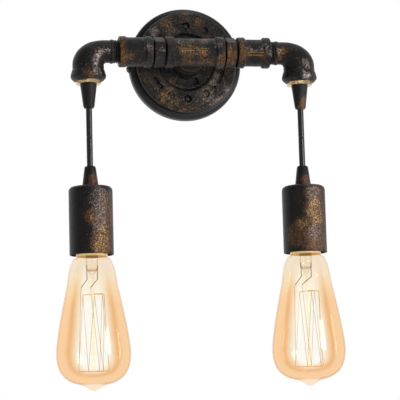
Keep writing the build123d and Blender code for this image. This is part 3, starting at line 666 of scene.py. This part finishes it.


# ---- where the photograph shows wear, and where painted highlights and painted shadows go (x, y, z and radius of each spot in mm) ----
WEAR_AND_PAINTED_LIGHT = {
    # flange: the pale spots on the lower right rim are painted highlights, and the black spots painted shadows
    "flange": {
        "copper": ((0, -18, 46, 5), (11, -18, 36.5, 4.5), (-20.5, -18, -31, 5), (-12, -18, -17.5, 5),
                   (-17.5, -18, -25.5, 4), (-5, -18, -44, 4), (37, -18, -34, 8)),
        "gold": ((-14, -18, -38, 7), (-24, -18, -35, 6), (-31, -18, 35, 7), (-19, -18, 36, 7), (-14, -18, 30, 5)),
        "pale": ((-30, -18, 28, 5), (18, -18, -31, 8), (29, -18, -39, 9), (28, -18, -13, 5), (24, -18, -19, 4),
                 (39, -18, -26, 6)),
        "painted_shadow": ((-31, -10, -4, 12), (-25, -10, -14, 8), (0, -12, 24, 9), (-10, -18, 22, 5), (45, -18, -20, 7),
                 (10, -10, -20, 6), (-40, -18, 8, 7), (31, -18, 25, 9), (24, -18, 38, 6))},
    # tee: the copper along the bottom and the pale spots on top are partly painted highlights
    "tee": {
        "copper": ((-13, -66, -13, 6), (-4, -67, -13, 6), (4, -66, -13.5, 6), (12, -66, -13, 5), (-8, -70, -3, 6),
                   (6, -70, -4, 6), (22, -70, -10, 8)),
        "gold": ((-12, -70, 4.5, 6), (-5, -70, 5, 5), (-14, -70, 0, 5), (0, -70, 0, 5), (7, -70, 0, 4)),
        "pale": ((-16, -70, 9, 5), (-3, -68, 11, 5), (8, -68, 11, 6), (20, -70, 5, 4)),
        "painted_shadow": ((-20, -70, -4, 5), (-17, -66, -10, 5), (18, -70, -2, 5), (14, -70, 4, 4), (-20, -66, 8, 4)),
        "glints": ((1.0, 0.32, -17, 12), (-0.9, 0.32, -15, 10))},
    "hexagon_left": {"pale": ((-31, -71, -0.5, 3),)},
    "hexagon_right": {"copper": ((31, -69, -7, 8), (30, -70, 0, 4), (33, -66, -12, 5))},
    "coupling_left": {
        "copper": ((-66, -71, 4, 5), (-66, -72, -3, 6), (-66, -70, -9, 6), (-66, -66, 10, 5), (-66, -64, -13, 4),
                   (-58, -70, -6, 4)),
        "gold": ((-65.5, -71, -6, 4), (-67.5, -71, 3, 3)),
        "pale": ((-43, -71, 2, 5),),
        "painted_shadow": ((-56, -71, 3, 8), (-50, -71, -6, 7))},
    "coupling_right": {
        "copper": ((41.5, -72, 1, 6), (41, -70, -8, 6), (41.5, -68, 8, 5), (52, -71, -4, 7), (60, -71, -4.5, 6),
                   (46, -71, -4, 4), (56, -68, -9, 5)),
        "gold": ((41.5, -72, 4, 4), (50, -71, -4, 3)),
        "pale": ((63, -70, 3, 5), (66, -70, -3, 4), (48, -70, 2, 4), (56, -70, 2, 4)),
        "painted_shadow": ((54, -71, 7, 5), (54, -68, -9, 6), (66, -70, -8, 4)),
        "glints": ((-1.9, 0.55, 44, 63), (-4.2, 0.55, 44, 63))},
    # elbows: the pale spots are a painted highlight streak across the front of the bend
    "elbow_left": {
        "copper": ((-80, -70, 4, 4), (-86, -71, 2, 4), (-93, -72, -6, 4), (-90, -72, -2, 4), (-101, -73, -21, 4),
                   (-95, -73, -23, 5)),
        "pale": ((-80, -71, -2, 5), (-84, -72, -3, 6), (-88, -73, -7, 6), (-91, -73, -13, 6), (-89, -73, -18, 5),
                 (-98, -73, -14, 3)),
        "painted_shadow": ((-99, -72, 0, 9), (-103, -70, -9, 8), (-86, -69, 9, 6), (-96, -73, -14, 4), (-80, -68, -8, 5))},
    "elbow_right": {
        "copper": ((76, -69, -2, 6), (81, -70, 3, 6), (87, -71, 4, 5), (75, -66, -9, 5), (92, -72, 2, 4)),
        "pale": ((75, -69, 0, 3), (99, -72, -10, 4), (101, -72, -14, 4), (100, -73, -23, 5), (95, -74, -18, 4)),
        "painted_shadow": ((96, -73, -3, 7), (88, -72, -8, 8), (86, -68, 9, 7), (92, -73, -18, 5), (81, -70, -6, 4))},
    # cups: the silver, copper and gold spots are painted highlights along the band where the light falls, the copper
    # partly wear too
    "cup_left": {
        "painted_silver_highlight": ((-91, -77, -135, 12), (-90, -77, -147, 11), (-89, -77, -158, 10), (-89, -77, -128, 9)),
        "copper": ((-84, -73, -136, 12), (-83, -72, -150, 13), (-87, -76, -166, 14), (-86, -75, -176, 12),
                   (-96, -77, -150, 10), (-94, -77, -172, 9)),
        "gold": ((-97, -77, -151, 5), (-87, -75, -160, 7), (-91, -77, -176, 9), (-87, -75, -172, 8))},
    "cup_right": {
        "painted_silver_highlight": ((101, -77, -128, 8), (102, -77, -138, 7), (101, -77, -165, 9)),
        "copper": ((102, -76, -130, 11), (103, -76, -143, 13), (101, -77, -158, 15), (90, -76, -162, 13),
                   (104, -75, -172, 14), (84, -73, -168, 12), (94, -77, -172, 12)),
        "gold": ((99, -77, -146, 8), (105, -75, -152, 8), (103, -76, -140, 7), (90, -76, -158, 6))}}


# ---- cords ----
class PIPELIGHT_OT_cords(PieceOperator):
    """The two short pendant cords, each in two halves"""
    bl_idname = "pipelight.cords"
    bl_label = "Cords"

    def make(self, sizes):
        black = cord_sheath()
        steps = 40
        for side, hand in SIDES.items():
            hang = (hand * SPAN, ARM_Y)
            fixture, cord_body, pendant = "fixture", f"cord_{side}", f"pendant_{side}"
            for part, top, bottom, bend, bodies in (
                    ("upper", CORD_TOP, CORD_MIDDLE - 0.2, (UPPER_MOUTH, CORD_MIDDLE), (fixture, cord_body)),
                    ("lower", CORD_MIDDLE + 0.2, CORD_BOTTOM, (CORD_MIDDLE, LOWER_MOUTH), (cord_body, pendant))):
                name = f"cord_{part}_{side}"
                radius = CORD_RADIUS - (0.02 if part == "upper" else 0.0)
                heights = [top + (bottom - top) * step / steps for step in range(steps + 1)]
                outline = [(0.3, top), (radius - 0.4, top)] + [(radius, height) for height in heights[1:-1]]
                outline += [(radius - 0.4, bottom), (0.3, bottom)]
                mesh = turned_tube(name, outline, (*hang, 0.0), (0, 0, 1), steps)
                cap_ends(mesh)
                cord = new_object(name, mesh, black)
                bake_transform(cord)
                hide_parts(f"cord_{side}")
                path = [(*hang, height * MM) for height in heights]


def cap_ends(mesh):
    """Closes the pinholes that turned_tube leaves on the axis."""
    work = bmesh.new()
    work.from_mesh(mesh)
    bmesh.ops.holes_fill(work, edges=[edge for edge in work.edges if edge.is_boundary], sides=0)
    work.to_mesh(mesh)
    work.free()


def cord_sheath():
    s = Shader("black_cord")
    soft = s.noise(2.0 * MM, 4.0, 0.6, stretch=(1.0, 1.0, 0.15))
    base = s.mix(soft, (0.0040, 0.0043, 0.0052), (0.0085, 0.0090, 0.0105))
    return s.surface(base_color=base, roughness=0.24 + soft * 0.10, normal=s.bump(soft, 0.03 * MM))


# ---- wall side ----
class PIPELIGHT_OT_wall_plate(PieceOperator):
    """Canopy, its rim screws, the bracket and the fastenings behind it"""
    bl_idname = "pipelight.wall_plate"
    bl_label = "Canopy and bracket"

    def make(self, sizes):
        dress("canopy", plain_metal("satin_canopy", (0.012, 0.0125, 0.013), 0.40, 0.3, 0.03,
                                    second=(0.022, 0.022, 0.0215)))
        screws = plain_metal("dark_screw", (0.085, 0.075, 0.068), 0.38, 0.8, 0.01)
        dress("canopy_side_screws", screws)
        dress("flange_screws", screws)
        zinc = plain_metal("zinc_steel", (0.55, 0.55, 0.53), 0.36, 1.0, 0.015, brushed=(1.0, 1.0, 0.2))
        for node in ("wall_bracket", "flange_nuts", "lock_washer", "lock_nut"):
            dress(node, zinc)
        dress("earth_screw", plain_metal("earth_brass", tone("brass"), 0.32, 1.0, 0.01))


class PIPELIGHT_OT_flange(PieceOperator):
    """The cast floor flange with its well, pockets, slots and plugs, and the nipple that it carries"""
    bl_idname = "pipelight.flange"
    bl_label = "Flange"

    def make(self, sizes):
        finish = aged_iron("iron_flange", warmth=1.0, **WEAR_AND_PAINTED_LIGHT["flange"])
        turns = (math.radians(turn) for turn in (30.0, 150.0, 270.0))
        plugs = [(FLANGE_PITCH * math.sin(turn), FLANGE_PITCH * math.cos(turn), PLUG_RADIUS, PLUG_DEPTH)
                 for turn in turns]
        thing = cast("flange_casting", ["flange"], finish, voxel=0.45, rounding=2,
                     lumps=(0.16, 6.0), grain=(0.08, 1.5), seed=2.0, sunk=plugs)
        finish_piece(thing, "fixture", "aged_iron", "flange")
        thread = aged_iron("iron_thread", warmth=0.3, speckle=0.3)
        pipe = threaded_pipe("wall_nipple_thread", 40.3, (0, -3.2 * MM, 0), (0, -1, 0), thread)
        finish_piece(pipe, "fixture", "aged_iron", "wall_nipple")


# ---- arm ----
def bar(name, low, high):
    """A rectangular bar between two corners in mm, to melt into a casting."""
    (x0, y0, z0), (x1, y1, z1) = low, high
    corners = [(x * MM, y * MM, z * MM) for x in (x0, x1) for y in (y0, y1) for z in (z0, z1)]
    faces = [(0, 1, 3, 2), (4, 6, 7, 5), (0, 4, 5, 1), (2, 3, 7, 6), (0, 2, 6, 4), (1, 5, 7, 3)]
    return mesh_of(name, corners, faces)


class PIPELIGHT_OT_tee(PieceOperator):
    """The tee with the parting line of its mould"""
    bl_idname = "pipelight.tee"
    bl_label = "Tee"

    def make(self, sizes):
        finish = aged_iron("iron_tee", warmth=0.8, **WEAR_AND_PAINTED_LIGHT["tee"])
        line, axis = sizes.seam_height / MM, ARM_Y / MM
        seam = [bar("tee_seam_front", (-19.4, axis - 12.4 - line, -0.5), (19.4, axis - 11.6, 0.5)),
                bar("tee_seam_left", (-26.3, axis - 14.0 - line * 0.7, -0.45), (-19.4, axis - 12.6, 0.45)),
                bar("tee_seam_right", (19.4, axis - 14.0 - line * 0.7, -0.45), (26.3, axis - 12.6, 0.45))]
        thing = cast("tee_casting", ["tee"], finish, voxel=0.45, rounding=2, lumps=(0.10, 5.0),
                     grain=(0.05, 1.4), extra=seam, seed=3.0)
        finish_piece(thing, "fixture", "aged_iron", "tee")


class PIPELIGHT_OT_nipples(PieceOperator):
    """The hexagon nipples between tee and couplings, with their bare threads"""
    bl_idname = "pipelight.nipples"
    bl_label = "Hexagon nipples"

    def make(self, sizes):
        thread = aged_iron("nipple_thread", warmth=0.2, speckle=0.3)
        for side, hand in SIDES.items():
            finish = aged_iron(f"iron_hexagon_{side}", warmth=0.5 + 0.4 * (hand > 0), **WEAR_AND_PAINTED_LIGHT[f"hexagon_{side}"])
            thing = cast(f"hexagon_{side}", [f"hex_nipple_{side}"], finish, voxel=0.4, rounding=1,
                         lumps=(0.05, 4.0), grain=(0.03, 1.0), seed=4.0 + hand)
            self.keep_hexagon(thing)
            finish_piece(thing, "fixture", "aged_iron", f"hex_nipple_{side}")
            pipe = threaded_pipe(f"nipple_thread_{side}", 36.1, (hand * 14.5 * MM, ARM_Y, 0), (hand, 0, 0), thread)
            finish_piece(pipe, "fixture", "aged_iron", f"hex_nipple_{side}")

    def keep_hexagon(self, thing):
        """Cuts the plain pipe ends off the casting, since the threaded pipe shows there."""
        work = bmesh.new()
        work.from_mesh(thing.data)
        low, high = 27.65 * MM, 37.45 * MM
        ends = [v for v in work.verts
                if not low < abs(v.co.x) < high or math.hypot(v.co.y - ARM_Y, v.co.z) < 9.0 * MM]
        bmesh.ops.delete(work, geom=ends, context="VERTS")
        work.to_mesh(thing.data)
        work.free()


class PIPELIGHT_OT_couplings(PieceOperator):
    """The banded couplings with the ribs along their sides"""
    bl_idname = "pipelight.couplings"
    bl_label = "Couplings"

    def make(self, sizes):
        for side, hand in SIDES.items():
            finish = aged_iron(f"iron_coupling_{side}", **WEAR_AND_PAINTED_LIGHT[f"coupling_{side}"])
            radius = COUPLING_RADII[side]
            low, high = sorted((hand * 44.6, hand * 62.6))
            middles = [(ARM_Y / MM + y, z) for y, z in self.ribs(radius, hand)]
            ribs = [bar(f"rib_{number}", (low, y - 0.75, z - 0.55), (high, y + 0.75, z + 0.55))
                    for number, (y, z) in enumerate(middles)]
            thing = cast(f"coupling_casting_{side}", [f"coupling_{side}"], finish, voxel=0.45, rounding=2,
                         lumps=(0.10, 5.0), grain=(0.05, 1.4), extra=ribs, seed=6.0 + hand)
            finish_piece(thing, "fixture", "aged_iron", f"coupling_{side}")

    def ribs(self, radius, hand):
        """Where the ribs' middles are across the coupling: one behind, and two at the front of the right one."""
        turns = (math.radians(turn) for turn in ((-12.0, -23.0) if hand > 0 else ()))
        return [(radius - 0.1, 0.0)] + [(-radius * math.cos(turn), radius * math.sin(turn)) for turn in turns]


class PIPELIGHT_OT_elbows(PieceOperator):
    """The street elbows, with the bare thread between arm and coupling"""
    bl_idname = "pipelight.elbows"
    bl_label = "Street elbows"

    def make(self, sizes):
        thread = aged_iron("elbow_thread", warmth=0.2, speckle=0.3)
        for side, hand in SIDES.items():
            # bare here is mostly the colour of the painted highlight streak across the elbow's bend
            finish = aged_iron(f"iron_elbow_{side}", bare=(0.50, 0.41, 0.375), **WEAR_AND_PAINTED_LIGHT[f"elbow_{side}"])
            thing = cast(f"elbow_casting_{side}", [f"street_elbow_{side}"], finish, voxel=0.5, rounding=3,
                         lumps=(0.14, 6.0), grain=(0.06, 1.2), seed=8.0 + hand)
            self.keep_body(thing, hand)
            finish_piece(thing, "fixture", "aged_iron", f"street_elbow_{side}")
            pipe = threaded_pipe(f"elbow_thread_{side}", 16.9, (hand * 73.5 * MM, ARM_Y, 0), (-hand, 0, 0), thread)
            finish_piece(pipe, "fixture", "aged_iron", f"street_elbow_{side}")

    def keep_body(self, thing, hand):
        """Cuts the plain male end off the casting, since the threaded pipe shows there."""
        work = bmesh.new()
        work.from_mesh(thing.data)
        bmesh.ops.delete(work, geom=[v for v in work.verts if v.co.x * hand < 73.0 * MM], context="VERTS")
        work.to_mesh(thing.data)
        work.free()


# ---- bushes and grips ----
class PIPELIGHT_OT_fittings(PieceOperator):
    """Brass bushes and the tapered cord grips"""
    bl_idname = "pipelight.fittings"
    bl_label = "Bushes and grips"

    def make(self, sizes):
        for side, hand in SIDES.items():
            x = hand * 96
            brass = plain_metal(f"brass_bush_{side}", tone("brass"), 0.28, 1.0, 0.01,
                                spots=((x - 7, -66, -28, 6), (x + 9, -64, -28, 3)), spot_colour=(0.42, 0.20, 0.09))
            dress(f"brass_bush_{side}", brass)
            for which, height in (("upper", -42.0), ("lower", -112.0)):
                rubbed = hand > 0 or which == "lower"
                worn = ((x + 2, -63, height - 4, 6), (x + 1, -63, height - 9, 6)) if rubbed else ()
                dress(f"{which}_cord_grip_{side}", bronze_wear_and_highlights(f"{which}_grip_{side}", (), worn, ()))


class PIPELIGHT_OT_holders(PieceOperator):
    """Lampholder cups and the socket inside them"""
    bl_idname = "pipelight.holders"
    bl_label = "Lampholders"

    def make(self, sizes):
        ceramic = Shader("ceramic")
        glaze = ceramic.noise(6.0 * MM, 3.0, 0.5)
        white = ceramic.surface(base_color=ceramic.mix(glaze, (0.84, 0.82, 0.78), (0.78, 0.76, 0.72)),
                                roughness=0.22 + glaze * 0.06, normal=ceramic.bump(glaze, 0.03 * MM))
        shell = plain_metal("socket_brass", (0.70, 0.54, 0.28), 0.34, 1.0, 0.01)
        zinc = plain_metal("holder_zinc", (0.55, 0.55, 0.53), 0.36, 1.0, 0.015)
        sheath = cord_sheath()
        for side, hand in SIDES.items():
            finish = bronze_wear_and_highlights(f"aged_cup_{side}", **WEAR_AND_PAINTED_LIGHT[f"cup_{side}"])
            cup = cast(f"cup_{side}", [f"holder_cup_{side}"], finish, voxel=0.6, rounding=2,
                       lumps=(0.03, 7.0), grain=(0.05, 1.3), seed=10.0 + hand)
            finish_piece(cup, f"pendant_{side}", "aged_cup", f"holder_cup_{side}")
            dress(f"socket_insulator_{side}", white)
            for node in ("screw_shell", "centre_contact", "socket_terminals"):
                dress(f"{node}_{side}", shell)
            dress(f"holder_nut_{side}", zinc)
            for node in ("feed_cable", "pendant_cable"):
                dress(f"{node}_{side}", sheath)


class PIPELIGHT_OT_bulbs(PieceOperator):
    """Amber bulbs with cap, stem, lead wires and the long filament cage"""
    bl_idname = "pipelight.bulbs"
    bl_label = "Bulbs"

    def make(self, sizes):
        amber, clear = amber_glass("amber_glass"), clear_glass("clear_glass")
        # the cap glows faintly as painted light, standing in for the filament's light in the neck
        cap = plain_metal("bulb_brass", (0.78, 0.56, 0.26), 0.34, 0.55, 0.01, second=(0.62, 0.42, 0.18), painted_glow=0.34)
        black = plain_metal("black_glass", (0.012, 0.012, 0.014), 0.12, 0.0, 0.004)
        solder = plain_metal("solder", (0.62, 0.62, 0.60), 0.34, 1.0, 0.02)
        wire = support_wire("support_wire")
        strand = glowing("filament", (0.62, 0.43, 0.20), 0.45)
        outside = curve_through([(radius, -drop) for drop, radius in BULB_OUTLINE], BULB_WIDEST)
        outside = [(min(radius, BULB_RADIUS - 0.01), height) for radius, height in outside]
        inside = [(max(radius - GLASS_WALL * out[0], 0.05), min(height - GLASS_WALL * out[1], outside[0][1]))
                  for (radius, height), out in zip(outside, outward(outside)) if radius > 11.6]
        inside += [(0.05, inside[-1][1])]
        for side, hand in SIDES.items():
            rim = (hand * SPAN, ARM_Y, CUP_RIM)
            wall = turned_tube(f"glass_{side}", outside + inside[::-1], rim, (0, 0, 1), 128)
            glass = new_object(f"glass_{side}", wall, amber)
            finish_piece(glass, f"bulb_{side}", "amber_glass", f"bulb_glass_{side}")
            thread = thread_shape(*CAP_THREAD, pitch=3.63, depth=0.75)
            wall = turned_tube(f"cap_{side}", self.cap_outline(), rim, (0, 0, 1), 96, thread)
            shell = new_object(f"cap_{side}", wall, cap)
            finish_piece(shell, f"bulb_{side}", "bulb_brass", f"bulb_cap_{side}")
            dress(f"bulb_stem_{side}", clear)
            dress(f"bulb_supports_{side}", wire)
            dress(f"bulb_filament_{side}", strand)
            dress(f"bulb_insulator_{side}", black)
            dress(f"bulb_contact_{side}", solder)

    def cap_outline(self):
        """The cap's wall as a loop: down its inside, round the skirt and up its outside in small steps."""
        low, high = CAP_THREAD
        steps = 90
        outer = [(CAP_RADIUS, low + (high - low) * step / steps) for step in range(steps + 1)]
        inner = [(radius - 0.5, height) for radius, height in outer[::-1]]
        skirt = [(13.4, -1.2), (13.8, -1.2), (13.8, 1.0), (CAP_RADIUS, 3.3)]
        top = [(CAP_RADIUS - 1.6, 24.0), (9.1, 24.0), (9.1, 23.6), (CAP_RADIUS - 2.0, 23.6)]
        return skirt + outer + top + inner + [(12.4, 3.2), (13.4, 0.9)]


# ---- add-on ----
OPERATORS = (PIPELIGHT_OT_stage, PIPELIGHT_OT_cords, PIPELIGHT_OT_wall_plate, PIPELIGHT_OT_flange,
             PIPELIGHT_OT_tee, PIPELIGHT_OT_nipples, PIPELIGHT_OT_couplings, PIPELIGHT_OT_elbows,
             PIPELIGHT_OT_fittings, PIPELIGHT_OT_holders, PIPELIGHT_OT_bulbs)


class PIPELIGHT_PT_pieces(bpy.types.Panel):
    """Lists the light's pieces and what may be changed about them"""
    bl_idname = "PIPELIGHT_PT_pieces"
    bl_label = "Pipe light"
    bl_space_type = "VIEW_3D"
    bl_region_type = "UI"
    bl_category = "Pipe light"

    def draw(self, context):
        for group in (context.scene.pipe_light_sizes, context.scene.pipe_light_colours):
            box = self.layout.box()
            for name in group.__annotations__:
                box.prop(group, name)
        for operator in OPERATORS:
            self.layout.operator(operator.bl_idname)


CLASSES = (PipeLightColours, PipeLightSizes, *OPERATORS, PIPELIGHT_PT_pieces)


def register():
    for one in CLASSES:
        bpy.utils.register_class(one)
    bpy.types.Scene.pipe_light_colours = PointerProperty(type=PipeLightColours)
    bpy.types.Scene.pipe_light_sizes = PointerProperty(type=PipeLightSizes)


def unregister():
    del bpy.types.Scene.pipe_light_sizes
    del bpy.types.Scene.pipe_light_colours
    for one in reversed(CLASSES):
        bpy.utils.unregister_class(one)


def main():
    register()
    for operator in OPERATORS:
        group, name = operator.bl_idname.split(".")
        getattr(getattr(bpy.ops, group), name)()


if __name__ == "__main__":
    main()
